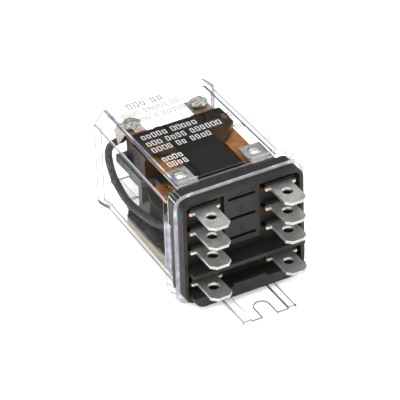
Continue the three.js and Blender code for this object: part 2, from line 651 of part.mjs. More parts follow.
// A moulded saddle that straddles the frame's foot and carries the bobbin.
function coilBase() {
  const { halfWidth, y0, y1, z0, z1, corner, chamfer } = BASE;
  const outline = roundedRectangle(-halfWidth, halfWidth, y0, y1, corner);
  const envelope = slabAlongY(chamferedRectangle(-halfWidth, halfWidth, z0, z1 + chamfer, chamfer), y0, y1);
  const channel = FRAME.halfWidth + GAP;
  return combine([common(slab(outline, z0, z1), envelope)], [
    ...SIDES.map(([, side]) => box(
      side * BASE_FLANGE.upperHalf, side * 20, y0 - 1, y1 + 1, BASE_FLANGE.top, z1 + 1,
    )),
    box(-channel, channel, y0 - 1, y1 + 1, z0 - 1, FRAME.z0 + FRAME.thick + GAP),
    disc(COIL.core + GAP, z0 - 1, z1 + 1, 0, COIL.y, 28),
  ]);
}

// The taped joint between the winding and a coil lead, lying on the base's flange beside the coil.
function leadWrap(side) {
  const { inner, outer, y0, y1, z0, z1, corner } = WRAP;
  const middle = (inner + outer) / 2;
  const half = (outer - inner) / 2;
  const section = roundedRectangle(side * middle - half, side * middle + half, z0, z1, corner);
  return slabAlongY(section, y0, y1, 4);
}

// A ring of the coil between the bobbin's flanges.
function coilRing(inner, outer) {
  const stand = COIL.flange + WINDING.clear;
  return ring(inner, outer, COIL.z0 + stand, COIL.z1 - stand, 0, COIL.y, 40);
}

// A close-wound extension spring, as the plain cylinder that its turns fill.
function returnSpring() {
  return disc(SPRING.radius + SPRING.wire, SPRING.z0 - 0.3, SPRING.z1, 0, SPRING.y, 12);
}

// ---------------------------------------------------------------- build

addPart('dust_cover', dustCover(), 'clear');
addPart('header', header(), 'charcoal');
terminals();
for (const [name, side] of SIDES) {
  contactSet(name, side);
  addPart(`contact_arm_${name}`, contactArm(side), 'copper');
  addPart(`solder_joint_${name}`, solderJoint(side), 'silver');
  addPart(`pigtail_${name}`, pigtail(side), 'sleeve');
  addPart(`coil_lead_${name}`, coilLead(side), 'wire');
  addPart(`lead_wrap_${name}`, leadWrap(side), 'tape');
  addPart(`carrier_rivet_${name}`, carrierRivet(side), 'black');
  addPart(`frame_screw_${name}`, frameScrew(side), 'steel');
}
addPart('contact_carrier', carrier(), 'black');
addPart('armature', armature(), 'steel');
addPart('frame', frame(), 'steel');
addPart('core', core(), 'steel');
addPart('coil_base', coilBase(), 'beige');
addPart('bobbin', bobbin(), 'black');
addPart('coil_winding', coilRing(COIL.tube + GAP, WINDING.radius), 'wire');
addPart('coil_tape', coilRing(WINDING.tapeInner, WINDING.tapeOuter), 'tape');
addPart('return_spring', returnSpring(), 'steel');

assembly.position.y = -CENTRE_Y;

export default assembly;
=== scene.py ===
"""Plug in power relay: clear dust cover, charcoal header, eight blade terminals and a clapper armature.

Metres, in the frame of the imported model: +Z up, +Y from the terminals to the hinge, origin on the floor.
"""

import math
import random

import bmesh
import bpy
from mathutils import Matrix, Vector, noise
from mathutils.bvhtree import BVHTree


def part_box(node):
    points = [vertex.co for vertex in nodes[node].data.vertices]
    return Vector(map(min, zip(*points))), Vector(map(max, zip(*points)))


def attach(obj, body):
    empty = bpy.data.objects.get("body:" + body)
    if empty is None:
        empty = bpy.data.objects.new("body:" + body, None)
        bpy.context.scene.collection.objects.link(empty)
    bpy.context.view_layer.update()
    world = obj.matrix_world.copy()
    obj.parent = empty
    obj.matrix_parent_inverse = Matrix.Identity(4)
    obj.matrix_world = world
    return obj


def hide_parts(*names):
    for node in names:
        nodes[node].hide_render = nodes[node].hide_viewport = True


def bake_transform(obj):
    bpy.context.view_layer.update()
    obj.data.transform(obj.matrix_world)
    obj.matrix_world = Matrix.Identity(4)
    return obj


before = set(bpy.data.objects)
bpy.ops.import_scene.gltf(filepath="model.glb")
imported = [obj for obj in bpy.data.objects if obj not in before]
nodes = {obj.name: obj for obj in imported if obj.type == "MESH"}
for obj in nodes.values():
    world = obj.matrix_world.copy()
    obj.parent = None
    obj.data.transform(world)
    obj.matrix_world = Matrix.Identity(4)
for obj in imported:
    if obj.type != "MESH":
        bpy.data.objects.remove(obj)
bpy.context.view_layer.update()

MM = 0.001
BASE = "relay_base"
ARMATURE = "armature_assembly"
SIDES = (("left", -1), ("right", 1))
cover_low, cover_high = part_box("dust_cover")
scene = bpy.context.scene
dice = random.Random(7)


def middle(node):
    """Centre of a CAD node's box."""
    low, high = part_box(node)
    return (low + high) / 2


# ---------------------------------------------------------------- camera

# A long lens, in front of the terminals, to their left and above.
LOOK_AT = Vector((0, -4.75, 17.25)) * MM
DISTANCE = 1064.5 * MM
AZIMUTH, ELEVATION, ROLL = (math.radians(a) for a in (-27.184, 34.955, -1.978))
ASIDE = (2.167 * MM, 0.162 * MM)  # how far the aim passes beside LOOK_AT, to the right and upwards
LENS, SENSOR = 360.54, 36.0
NEAREST, FARTHEST = 0.05, 20


def add_camera():
    """The camera at the photograph's viewing angle."""
    back = Vector((
        math.sin(AZIMUTH) * math.cos(ELEVATION),
        -math.cos(AZIMUTH) * math.cos(ELEVATION),
        math.sin(ELEVATION),
    ))
    level_right = (-back).cross(Vector((0, 0, 1))).normalized()
    level_up = back.cross(level_right)
    right = level_right * math.cos(ROLL) + level_up * math.sin(ROLL)
    up = level_up * math.cos(ROLL) - level_right * math.sin(ROLL)
    data = bpy.data.cameras.new("camera")
    data.lens, data.sensor_width = LENS, SENSOR
    data.clip_start, data.clip_end = NEAREST, FARTHEST
    camera = bpy.data.objects.new("camera", data)
    place = Matrix((right, up, back)).transposed().to_4x4()
    place.translation = LOOK_AT + back * DISTANCE - right * ASIDE[0] - up * ASIDE[1]
    camera.matrix_world = place
    scene.collection.objects.link(camera)
    scene.camera = camera


add_camera()


# ---------------------------------------------------------------- materials

MIX_SHARE, MIX_A, MIX_B, MIX_RESULT = 0, 6, 7, 2  # a Mix node's sockets when it mixes colours


class Look:
    """A material whose node tree is built one node at a time, on a Principled shader."""

    def __init__(self, name, **inputs):
        self.material = bpy.data.materials.new(name)
        self.material.use_nodes = True
        self.tree = self.material.node_tree
        self.shader = self.tree.nodes["Principled BSDF"]
        self.output = self.tree.nodes["Material Output"]
        for key, value in inputs.items():
            self.shader.inputs[key.replace("_", " ")].default_value = value
        self.place = self.node("ShaderNodeTexCoord").outputs["Object"]

    def node(self, kind, links=None, **settings):
        made = self.tree.nodes.new(kind)
        for key, value in settings.items():
            setattr(made, key, value)
        for key, value in (links or {}).items():
            if isinstance(value, bpy.types.NodeSocket):
                self.tree.links.new(value, made.inputs[key])
            else:
                made.inputs[key].default_value = value
        return made

    def feed(self, key, socket):
        self.tree.links.new(socket, self.shader.inputs[key])
        return self

    def noise(self, per_mm, detail=4.0, rough=0.55, stretch=(1, 1, 1), distortion=0.0):
        """Noise with about per_mm features in a millimetre, drawn out along each axis by stretch."""
        mapping = self.node("ShaderNodeMapping", {"Vector": self.place})
        mapping.inputs["Scale"].default_value = [per_mm / MM / s for s in stretch]
        made = self.node("ShaderNodeTexNoise", {
            "Vector": mapping.outputs["Vector"], "Scale": 1.0, "Detail": detail, "Roughness": rough,
            "Distortion": distortion,
        })
        return made.outputs["Fac"]

    def cells(self, per_mm):
        """Distance from the middle of the nearest of about per_mm cells in a millimetre."""
        mapping = self.node("ShaderNodeMapping", {"Vector": self.place})
        mapping.inputs["Scale"].default_value = [per_mm / MM] * 3
        made = self.node("ShaderNodeTexVoronoi", {"Vector": mapping.outputs["Vector"], "Scale": 1.0})
        return made.outputs["Distance"]

    def calc(self, operation, *values):
        """The result of one sum on numbers or sockets."""
        return self.node("ShaderNodeMath", dict(enumerate(values)), operation=operation).outputs[0]

    def ramp(self, fac, *stops):
        """Colour or grey value against fac; each stop is (position, value)."""
        made = self.node("ShaderNodeValToRGB", {"Fac": fac})
        ramp = made.color_ramp
        while len(ramp.elements) < len(stops):
            ramp.elements.new(0.5)
        for element, (position, value) in zip(ramp.elements, stops):
            element.position = position
            colour = value if isinstance(value, tuple) else (value, value, value)
            element.color = (*colour, 1)
        return made.outputs["Color"]

    def blend(self, share, a, b, mode="MIX"):
        """Colour a blended with b; share and the colours are values or sockets."""
        made = self.node("ShaderNodeMix", data_type="RGBA", blend_type=mode)
        for index, value in ((MIX_SHARE, share), (MIX_A, a), (MIX_B, b)):
            if isinstance(value, bpy.types.NodeSocket):
                self.tree.links.new(value, made.inputs[index])
            elif index == MIX_SHARE:
                made.inputs[index].default_value = value
            else:
                made.inputs[index].default_value = (*value, 1)
        return made.outputs[MIX_RESULT]

    def bump(self, height, strength, depth_mm, after=None):
        """A bumped normal; after is the normal that it is laid over."""
        made = self.node("ShaderNodeBump", {
            "Height": height, "Strength": strength, "Distance": depth_mm * MM,
        })
        if after is not None:
            self.tree.links.new(after, made.inputs["Normal"])
        return made.outputs["Normal"]


def plastic(name, dark, light, rough, grain=9.0, gloss=0.35, tint=None):
    """Moulded plastic with faint flow streaks and a fine spark-eroded grain. A tint function, where given,
    changes its colour in places: the carrier's paints the copper arms beneath in painted shade."""
    look = Look(name, Specular_IOR_Level=gloss)
    flow = look.noise(0.12, detail=3, stretch=(1, 3, 1), distortion=0.4)
    colour = look.ramp(flow, (0.3, dark), (0.7, light))
    look.feed("Base Color", tint(look, colour) if tint else colour)
    look.feed("Roughness", look.ramp(look.noise(0.5), (0.3, rough - 0.06), (0.7, rough + 0.08)))
    look.feed("Normal", look.bump(look.noise(grain, detail=3), 0.25, 0.02))
    return look.material


BROWN_BEYOND = 5.9 * MM  # the carrier is painted dark brown, the copper arms beneath in painted shade, further out than this on either side
BROWN_BEFORE = 8.1 * MM  # and nearer the terminals than this


def shaded_arm_wings(look, colour):
    """Painted dark brown where the carrier's outer parts lie over the copper arms: the arms as seen in
    painted shade.
    """
    place = look.node("ShaderNodeSeparateXYZ", {0: look.place}).outputs
    beside = look.calc("GREATER_THAN", look.calc("ABSOLUTE", place["X"]), BROWN_BEYOND)
    before = look.calc("LESS_THAN", place["Y"], BROWN_BEFORE)
    brown = look.ramp(look.noise(0.5, detail=4), (0.3, (0.020, 0.012, 0.006)), (0.7, (0.045, 0.026, 0.012)))
    return look.blend(look.calc("MULTIPLY", beside, before), colour, brown)


def metal(name, dark, light, rough, streak=(1, 6, 1), scratch=0.25, speckle=0.5, metallic=1.0):
    """Rolled and plated sheet: drawn-out scratches, cloudy tarnish and small pits. A dull oxide or
    plating, which scatters light, makes it less metallic."""
    look = Look(name, Metallic=metallic)
    cloud = look.noise(0.35, detail=5, rough=0.65)
    pits = look.ramp(look.noise(4.5, detail=2, rough=0.7), (0.34, 0.0), (0.44, 1.0))
    tone = look.ramp(cloud, (0.32, dark), (0.68, light))
    look.feed("Base Color", look.blend(speckle, tone, pits, "MULTIPLY"))
    lines = look.noise(3.0, detail=4, rough=0.7, stretch=streak)
    look.feed("Roughness", look.ramp(lines, (0.3, rough - 0.08), (0.7, rough + 0.14)))
    look.feed("Normal", look.bump(lines, scratch, 0.02, look.bump(pits, 0.3, 0.015)))
    return look.material


def mixed_surface(look, share, under, over):
    """Shows one shader through another; share is how much of the upper one there is."""
    mixed = look.node("ShaderNodeMixShader", {0: share, 1: under, 2: over})
    look.tree.links.new(mixed.outputs[0], look.output.inputs["Surface"])
    return look.material


def thin_clear(name, tint, gloss):
    """A flat clear wall. Its two faces are parallel, so light goes straight on through it, and only a
    little of the room shows in its surface."""
    look = Look(name, Metallic=1.0, Base_Color=(0.95, 0.96, 1.0, 1))
    wave = look.noise(0.09, detail=3, stretch=(1, 2.5, 1))
    look.feed("Roughness", look.ramp(look.noise(0.6), (0.35, 0.02), (0.7, 0.09)))
    look.feed("Normal", look.bump(wave, 0.12, 0.05))
    facing = look.node("ShaderNodeLayerWeight", {"Blend": 0.5}).outputs["Facing"]
    share = look.calc("MULTIPLY_ADD", look.calc("POWER", facing, 8.0), gloss, gloss * 0.01)
    veil = look.ramp(look.noise(0.25, detail=4), (0.3, tuple(c * 0.985 for c in tint)), (0.7, tint))
    straight = look.node("ShaderNodeBsdfTransparent", {"Color": veil})
    return mixed_surface(look, share, straight.outputs[0], look.shader.outputs[0])


def bent_clear(name, tint, rough, haze):
    """A rounded edge of the clear moulding, which bends what is seen through it but casts no shadow."""
    look = Look(name, Base_Color=(*tint, 1), Roughness=rough, IOR=1.3, Transmission_Weight=1.0)
    look.feed("Normal", look.bump(look.noise(0.18, detail=2), haze, 0.05))
    path = look.node("ShaderNodeLightPath").outputs
    passing = look.calc("MAXIMUM", path["Is Shadow Ray"], path["Is Diffuse Ray"])
    straight = look.node("ShaderNodeBsdfTransparent", {"Color": (*tint, 1)})
    return mixed_surface(look, passing, look.shader.outputs[0], straight.outputs[0])


LINE_GLOW = 0.1  # painted glow, standing for light that an edge of the moulding gathers from the rest of it


def light_line(name, share, *stops, glow=0.0):
    """A painted line of light or shade, standing for what an edge of the clear moulding gathers, uneven
    along its length. Share is how much of it there is over what lies behind."""
    look = Look(name, Roughness=0.28, Specular_IOR_Level=0.5)
    tone = look.ramp(look.noise(0.5, detail=3, stretch=(1, 4, 1)), *stops)
    look.feed("Base Color", tone).feed("Emission Color", tone)
    look.shader.inputs["Emission Strength"].default_value = glow
    straight = look.node("ShaderNodeBsdfTransparent", {"Color": (0.97, 0.97, 1, 1)})
    return mixed_surface(look, share, straight.outputs[0], look.shader.outputs[0])


# Painted colours along the spectral edge, standing for the light that it splits: the share of the way from
# the tab at the terminals' end to the far tab, and the colour there.
SPECTRUM = (
    (0.30, (0.42, 0.41, 0.50)), (0.34, (0.10, 0.11, 0.34)), (0.37, (0.60, 0.59, 0.58)),
    (0.40, (0.50, 0.34, 0.15)), (0.44, (0.40, 0.42, 0.44)), (0.50, (0.13, 0.20, 0.24)),
    (0.57, (0.11, 0.17, 0.26)), (0.62, (0.14, 0.12, 0.33)), (0.66, (0.55, 0.52, 0.56)),
    (0.71, (0.50, 0.42, 0.38)), (0.75, (0.22, 0.34, 0.42)), (0.79, (0.06, 0.05, 0.09)),
    (0.83, (0.10, 0.16, 0.26)),
)


def spectral_look():
    """The rounded upper left edge, painted in soft colours along its length with a faint glow: painted light,
    standing for the light that the edge splits.
    """
    look = Look("spectral_edge", Roughness=0.2)
    along = look.node("ShaderNodeMapRange", {
        "Value": look.node("ShaderNodeSeparateXYZ", {0: look.place}).outputs["Y"],
        "From Min": cover_low.y, "From Max": cover_high.y,
    })
    wobble = look.calc("MULTIPLY", look.noise(0.35, detail=2), 0.05)
    tones = look.ramp(look.calc("ADD", along.outputs[0], wobble), *SPECTRUM)
    flecks = look.ramp(look.noise(1.1, detail=2, stretch=(1, 3, 1)), (0.36, 0.25), (0.52, 1.0))
    colour = look.blend(0.6, tones, flecks, "MULTIPLY")
    look.feed("Base Color", colour).feed("Emission Color", colour)
    look.shader.inputs["Emission Strength"].default_value = LINE_GLOW
    straight = look.node("ShaderNodeBsdfTransparent", {"Color": (0.95, 0.95, 1, 1)})
    return mixed_surface(look, 0.86, straight.outputs[0], look.shader.outputs[0])


CHARCOAL = plastic("charcoal_moulding", (0.009, 0.0095, 0.008), (0.015, 0.016, 0.0135), 0.44, gloss=0.25)
DEEP_BLACK = ((0.005, 0.005, 0.004), (0.011, 0.010, 0.008), 0.40)
BLACK = plastic("black_moulding", *DEEP_BLACK, gloss=0.16)
# The carrier's outer parts carry painted shade: dark brown where the copper arms lie beneath.
CARRIER = plastic("carrier_moulding", *DEEP_BLACK, gloss=0.16, tint=shaded_arm_wings)
BEIGE = plastic("beige_moulding", (0.22, 0.205, 0.145), (0.33, 0.31, 0.235), 0.55, grain=5)
TIN = metal("tinned_brass", (0.34, 0.34, 0.325), (0.52, 0.52, 0.50), 0.36, metallic=0.8)
# The blades' eased edges: the same tinned metal painted lighter, a painted highlight.
BRIGHT_EDGE = metal("edge_highlight", (0.70, 0.70, 0.68), (0.86, 0.86, 0.84), 0.26, speckle=0.2, metallic=0.7)
SHEARED_COPPER = metal("sheared_copper", (0.80, 0.27, 0.11), (0.95, 0.46, 0.25), 0.35, speckle=0.2,
                       metallic=0.6)
SHEARED_BRASS = metal("sheared_brass", (0.66, 0.48, 0.14), (0.84, 0.66, 0.27), 0.35, speckle=0.2,
                      metallic=0.6)
SILVER = metal("contact_silver", (0.40, 0.40, 0.385), (0.66, 0.66, 0.64), 0.34, speckle=0.4)
COPPER = metal("arm_copper", (0.24, 0.105, 0.035), (0.46, 0.205, 0.075), 0.34, streak=(1, 9, 1),
               speckle=0.4, metallic=0.6)
IRON = metal("plated_iron", (0.07, 0.07, 0.062), (0.15, 0.148, 0.135), 0.46, streak=(1, 1, 7), speckle=0.7,
             metallic=0.7)
SPRING_STEEL = metal("spring_steel", (0.35, 0.35, 0.35), (0.5, 0.5, 0.5), 0.25)
CLEAR = thin_clear("clear_polycarbonate", (0.985, 0.983, 0.985), 0.2)
CLEAR_EDGE = bent_clear("clear_edge", (0.96, 0.96, 0.97), 0.08, 0.3)
# Painted light and shade on the clear cover: a glowing bright rim, and dark, grey-brown and light-grey lines
# along its edges.
RIM = light_line("edge_lit_rim", 0.85, (0.3, (0.24, 0.23, 0.27)), (0.6, (0.42, 0.40, 0.47)),
                 (0.72, (0.8, 0.8, 0.86)), glow=LINE_GLOW)
SPECTRAL = spectral_look()
SHADE_LINE = light_line("shade_line", 0.85, (0.3, (0.02, 0.018, 0.02)), (0.7, (0.10, 0.095, 0.10)))
WARM_LINE = light_line("warm_line", 0.92, (0.3, (0.045, 0.034, 0.030)), (0.7, (0.11, 0.09, 0.08)))
PALE_LINE = light_line("pale_line", 0.8, (0.3, (0.12, 0.11, 0.12)), (0.7, (0.24, 0.23, 0.25)))


def solder_look():
    """Hand-laid solder: a dull, crusted skin with brighter smooth patches."""
    look = Look("solder", Metallic=0.85)
    crust = look.noise(0.9, detail=5, rough=0.65, distortion=0.8)
    look.feed("Base Color", look.ramp(crust, (0.34, (0.12, 0.11, 0.10)), (0.5, (0.42, 0.41, 0.38)),
                                      (0.68, (0.62, 0.60, 0.56))))
    look.feed("Roughness", look.ramp(crust, (0.35, 0.6), (0.65, 0.24)))
    look.feed("Normal", look.bump(crust, 0.8, 0.18))
    return look.material


def sleeve_look():
    """Black heat-shrunk braid: a coarse weave pressed through the sleeve, scuffed to copper in places."""
    look = Look("lead_sleeve", Specular_IOR_Level=0.35)
    weave = look.cells(1.1)
    scuff = look.noise(1.0, detail=5, rough=0.75)
    body = look.ramp(weave, (0.2, (0.024, 0.022, 0.020)), (0.7, (0.002, 0.002, 0.002)))
    worn = look.ramp(scuff, (0.53, 0.0), (0.64, 0.85))
    bare = look.ramp(look.noise(0.7, detail=2), (0.42, (0.06, 0.052, 0.045)), (0.62, (0.17, 0.085, 0.035)))
    look.feed("Base Color", look.blend(worn, body, bare))
    look.feed("Roughness", look.ramp(scuff, (0.35, 0.38), (0.7, 0.62)))
    look.feed("Normal", look.bump(weave, 0.9, 0.3, look.bump(scuff, 0.8, 0.25)))
    return look.material


def tape_look():
    """Black impregnated cloth tape with broken varnish that glints in specks."""
    look = Look("coil_tape")
    weave = look.noise(3.2, detail=3, rough=0.7)
    lumps = look.noise(0.8, detail=5, rough=0.7, distortion=0.6)
    specks = look.ramp(look.noise(1.3, detail=4, rough=0.75), (0.56, 0.0), (0.66, 1.0))
    body = look.ramp(lumps, (0.4, (0.003, 0.003, 0.003)), (0.7, (0.014, 0.013, 0.012)))
    look.feed("Base Color", look.blend(specks, body, (0.075, 0.078, 0.075)))
    look.feed("Roughness", look.ramp(specks, (0.2, 0.55), (0.8, 0.25)))
    look.feed("Specular IOR Level", look.ramp(specks, (0.2, 0.15), (0.8, 0.6)))
    look.feed("Normal", look.bump(weave, 0.7, 0.2, look.bump(lumps, 1.0, 0.7)))
    return look.material


WIRE_PITCH = 0.08 * MM  # from one turn of the coil's wire to the next


def wire_look():
    """Enamelled copper wire, wound turn against turn."""
    look = Look("coil_wire", Metallic=1.0, Roughness=0.3, Coat_Weight=0.4)
    turns = look.node("ShaderNodeTexWave", {"Vector": look.place, "Scale": 1 / (2 * math.pi * WIRE_PITCH)})
    turns.bands_direction = "Z"
    height = turns.outputs["Fac"]
    # Painted shade: each turn darker down its sides, into the grooves between turns.
    look.feed("Base Color", look.ramp(height, (0.1, (0.10, 0.03, 0.012)), (0.8, (0.48, 0.18, 0.07))))
    look.feed("Normal", look.bump(height, 0.6, 0.08))
    return look.material


def ink_look(name, thin, full):
    """Screen-printed ink that is thinner in patches."""
    look = Look(name, Specular_IOR_Level=0.3)
    patchy = look.noise(2.5, detail=4, rough=0.7)
    look.feed("Base Color", look.ramp(patchy, (0.3, thin), (0.55, full)))
    look.feed("Roughness", look.ramp(patchy, (0.3, 0.7), (0.7, 0.5)))
    return look.material


SOLDER, SLEEVE, TAPE, WIRE = solder_look(), sleeve_look(), tape_look(), wire_look()
INK = ink_look("cover_ink", (0.32, 0.32, 0.33), (0.58, 0.58, 0.59))
THIN_INK = ink_look("cover_ink_thin", (0.05, 0.045, 0.045), (0.12, 0.11, 0.11))


# ---------------------------------------------------------------- mesh helpers

WELD = 1e-7  # points closer than this are one
FLAT = math.radians(0.7)  # faces that bend less than this are one face
SHARP = math.radians(32)  # edges that bend more than this are eased


def new_piece(name, mesh, body, slot, *materials, replaces=()):
    """A piece on one body, with its finish and the CAD nodes that it stands for."""
    piece = bpy.data.objects.new(name, mesh)
    scene.collection.objects.link(piece)
    for material in materials:
        mesh.materials.append(material)
    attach(piece, body)
    if replaces:
        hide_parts(*replaces)
    return piece


def hinged_piece(name, mesh, material, node):
    """A piece with one finish that stands for a CAD node; it follows neither the base nor the armature."""
    piece = bpy.data.objects.new(name, mesh)
    scene.collection.objects.link(piece)
    mesh.materials.append(material)
    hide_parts(node)
    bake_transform(piece)


def finished(bm, name):
    """The mesh that an edit mesh makes; the edit mesh is freed."""
    mesh = bpy.data.meshes.new(name)
    bm.to_mesh(mesh)
    bm.free()
    return mesh


def smooth(mesh, angle=38):
    """Smooth shading, except over edges that bend more than the angle in degrees."""
    mesh.polygons.foreach_set("use_smooth", [True] * len(mesh.polygons))
    mesh.set_sharp_from_angle(angle=math.radians(angle))


def weigh_normals(piece):
    """Shades the large faces beside an eased edge as flat."""
    weighted = piece.modifiers.new("weighted", "WEIGHTED_NORMAL")
    weighted.keep_sharp = True


def joined(node):
    """A CAD node's mesh as one welded surface whose flat faces are whole again."""
    bm = bmesh.new()
    bm.from_mesh(nodes[node].data)
    bmesh.ops.remove_doubles(bm, verts=bm.verts, dist=WELD)
    bmesh.ops.dissolve_limit(bm, angle_limit=FLAT, verts=bm.verts, edges=bm.edges)
    for face in bm.faces:
        face.material_index = 0
    return bm


def surface(node):
    """A tree that finds where a ray meets a CAD node."""
    bm = bmesh.new()
    bm.from_mesh(nodes[node].data)
    return BVHTree.FromBMesh(bm)


def eased(node, width_mm, *materials, body=BASE, slot, steps=2, paint=None, edge_paint=0, seam=None):
    """A copy of a CAD node with every sharp edge eased, which stands for the node. A paint function
    gives the number of a face's material, or None. A seam splits the flat faces at that y, so that they
    can be painted apart."""
    bm = joined(node)
    if seam is not None:
        bmesh.ops.bisect_plane(bm, geom=bm.verts[:] + bm.edges[:] + bm.faces[:], dist=WELD,
                               plane_co=(0, seam, 0), plane_no=(0, 1, 0))
    sharp = [e for e in bm.edges if e.is_manifold and e.calc_face_angle(0) > SHARP]
    bmesh.ops.bevel(bm, geom=sharp, offset=width_mm * MM, offset_type="OFFSET", segments=steps, profile=0.5,
                    affect="EDGES", clamp_overlap=True, material=edge_paint)
    if paint:
        bm.normal_update()
        for face in bm.faces:
            index = paint(face)
            if index is not None:
                face.material_index = index
    mesh = finished(bm, node + "_eased")
    smooth(mesh)
    weigh_normals(new_piece(node + "_eased", mesh, body, slot, *materials, replaces=(node,)))


# ---------------------------------------------------------------- dust cover

rim_y = min(v.co.y for v in nodes["dust_cover"].data.vertices if v.co.z > cover_high.z / 2)
# The bright rib inside each side wall, just behind the header.
RIB = {"inner": 17.05 * MM, "thick": 0.9 * MM, "y0": rim_y + 5.1 * MM, "y1": rim_y + 8.6 * MM,
       "z0": 6.7 * MM, "z1": 21.8 * MM}
WALL = 1.25 * MM
LONG_EDGE = 30 * MM  # edges longer than this run along the cover
FAR_FACE = rim_y + 46.5 * MM  # just short of the far end
# How far the long upper edges lie from the middle: the top face's outer and inner edge, and the
# chamfer's lower edge, which is between LOW_FROM and LOW_TO below the top face.
TOP_OUT, TOP_IN, SIDE_OUT = 15 * MM, 14.5 * MM, 18.7 * MM
LOW_FROM, LOW_TO = 3 * MM, 3.7 * MM
CORNER_FROM = 14.2 * MM  # further out than this, the far end's edges belong to its corners
FOOT, CROWN = 6 * MM, 6 * MM  # how far the cover's foot and its far top corners reach up and down
FOOT_FROM = 10 * MM  # further out than this, the foot's left edge shows as lines
TAB_HALF, TAB_TOP = 9 * MM, 1.8 * MM  # the mounting tabs lie within this, at the bottom
FAR_DEPTH, FLOOR_THICK = 3 * MM, 2 * MM  # how far the far end and the cover's bottom edges reach
COLLAR_DEPTH = 8 * MM  # the collar round the header, from the rim
RIM_BAND, RIM_FROM = 0.3 * MM, 1.2 * MM  # the rim's end face, in depth, and how low it begins
EDGE_REACH, FACE_REACH = 0.8 * MM, 0.7 * MM  # how far off a long edge, its middle and its faces may be
CREASE = math.radians(22)  # edges that bend more than this are rounded
ROUND_WIDTH, ROUND_STEPS = 0.52 * MM, 6
WIDEST, MEDIUM, NARROW, NARROWEST = 1.0, 0.5, 0.4, 0.25  # roundings, as shares of ROUND_WIDTH
ROUNDED = 1  # material number of the faces that the rounding makes
COVER_LOOKS = {
    "wall": CLEAR, "edge": CLEAR_EDGE, "rim": RIM, "spectral": SPECTRAL, "shade": SHADE_LINE,
    "warm": WARM_LINE, "pale": PALE_LINE,
}
cover_tree = surface("dust_cover")


def top_height(y):
    """Height of the cover's top face, which falls slightly towards the far end."""
    hit = cover_tree.ray_cast(Vector((0, y, 1)), Vector((0, 0, -1)))[0]
    return hit.z if hit else cover_high.z


def long_edge_kind(place, reach):
    """Which of the cover's long upper edges a place is on; reach is how far off it may be."""
    below = top_height(place.y) - place.z
    if abs(abs(place.x) - TOP_OUT) < reach and below < WALL / 2 + reach / 2:
        return "outer_top"
    if abs(abs(place.x) - TOP_IN) < reach and WALL / 2 < below < WALL + reach:
        return "inner_top"
    if abs(abs(place.x) - SIDE_OUT) < reach and LOW_FROM < below < LOW_TO + reach:
        return "outer_side"
    return None


def edge_weight(edge):
    """How wide an edge of the cover is rounded, as a share of the widest."""
    place = (edge.verts[0].co + edge.verts[1].co) / 2
    if edge.calc_length() < LONG_EDGE:
        at_end = place.y > FAR_FACE - FAR_DEPTH or place.z < FLOOR_THICK
        return NARROW if at_end else NARROWEST
    kind = long_edge_kind(place, EDGE_REACH)
    if kind == "inner_top" and place.x < 0:
        return NARROW
    return WIDEST if kind else MEDIUM


def long_edge_paint(kind, side, tilt):
    """Look along a long edge. A rounding is made of strips, so it carries lines side by side: tilt is
    how far a strip leans from level, in degrees."""
    if kind == "inner_top":
        return "warm" if side > 0 else "shade"
    if side > 0:
        return "wall" if kind == "outer_top" and tilt >= 30 else "pale"
    if kind == "outer_top":
        return "spectral" if 7 <= tilt < 23 else "shade" if tilt < 38 else "wall"
    return "rim" if tilt < 65 else "shade" if tilt < 83 else "wall"


def cover_paint(face):
    """Look of a face of the rounded cover."""
    centre, normal = face.center, face.normal
    side = -1 if centre.x < 0 else 1
    at_corner = abs(centre.x) > CORNER_FROM
    if normal.y < -0.8 and abs(centre.y - rim_y) < RIM_BAND and centre.z > RIM_FROM:
        return "rim"
    in_rib = RIB["y0"] - MM < centre.y < RIB["y1"] + MM and RIB["z0"] < centre.z < RIB["z1"]
    if in_rib and abs(centre.x) < RIB["inner"] + RIB["thick"]:
        return "rim"
    if centre.y > FAR_FACE and normal.y > 0.3 and at_corner:
        if centre.z > cover_high.z - CROWN:
            return "shade" if side > 0 else "warm"
        if side < 0 and centre.z < FOOT:
            return "warm"
    if face.material_index != ROUNDED:
        return "wall"
    if abs(centre.x) < TAB_HALF and centre.z < TAB_TOP:
        return "warm"
    if abs(normal.y) > 0.3:
        return "edge" if centre.y < 0 else "pale" if at_corner else "wall"
    kind = long_edge_kind(centre, FACE_REACH)
    if kind:
        return long_edge_paint(kind, side, math.degrees(math.atan2(abs(normal.x), normal.z)))
    if centre.z < FOOT and centre.x < -FOOT_FROM:
        return "shade" if normal.x < -0.5 else "pale"
    return "wall" if centre.y > rim_y + COLLAR_DEPTH else "edge"


def cover_shell():
    """The cover with its edges rounded, the long upper ones most."""
    bm = joined("dust_cover")
    weights = bm.edges.layers.float.new("bevel_weight_edge")
    for edge in bm.edges:
        if edge.is_manifold and edge.calc_face_angle(0) > CREASE:
            edge[weights] = edge_weight(edge)
    mesh = finished(bm, "dust_cover_sharp")
    draft = bpy.data.objects.new("dust_cover_sharp", mesh)
    scene.collection.objects.link(draft)
    for _ in range(ROUNDED + 1):
        mesh.materials.append(CLEAR)
    rounding = draft.modifiers.new("rounding", "BEVEL")
    rounding.limit_method = "WEIGHT"
    rounding.width, rounding.segments, rounding.material = ROUND_WIDTH, ROUND_STEPS, ROUNDED
    rounding.use_clamp_overlap = False
    final = bpy.data.meshes.new_from_object(draft.evaluated_get(bpy.context.evaluated_depsgraph_get()))
    final.name = "dust_cover_rounded"
    bpy.data.objects.remove(draft)
    look_names = list(COVER_LOOKS)
    painted = [look_names.index(cover_paint(face)) for face in final.polygons]
    final.materials.clear()
    smooth(final)
    piece = new_piece("dust_cover_rounded", final, BASE, "clear_cover", *COVER_LOOKS.values(),
                      replaces=("dust_cover",))
    final.polygons.foreach_set("material_index", painted)
    weigh_normals(piece)


cover_shell()


# ---------------------------------------------------------------- header and terminals

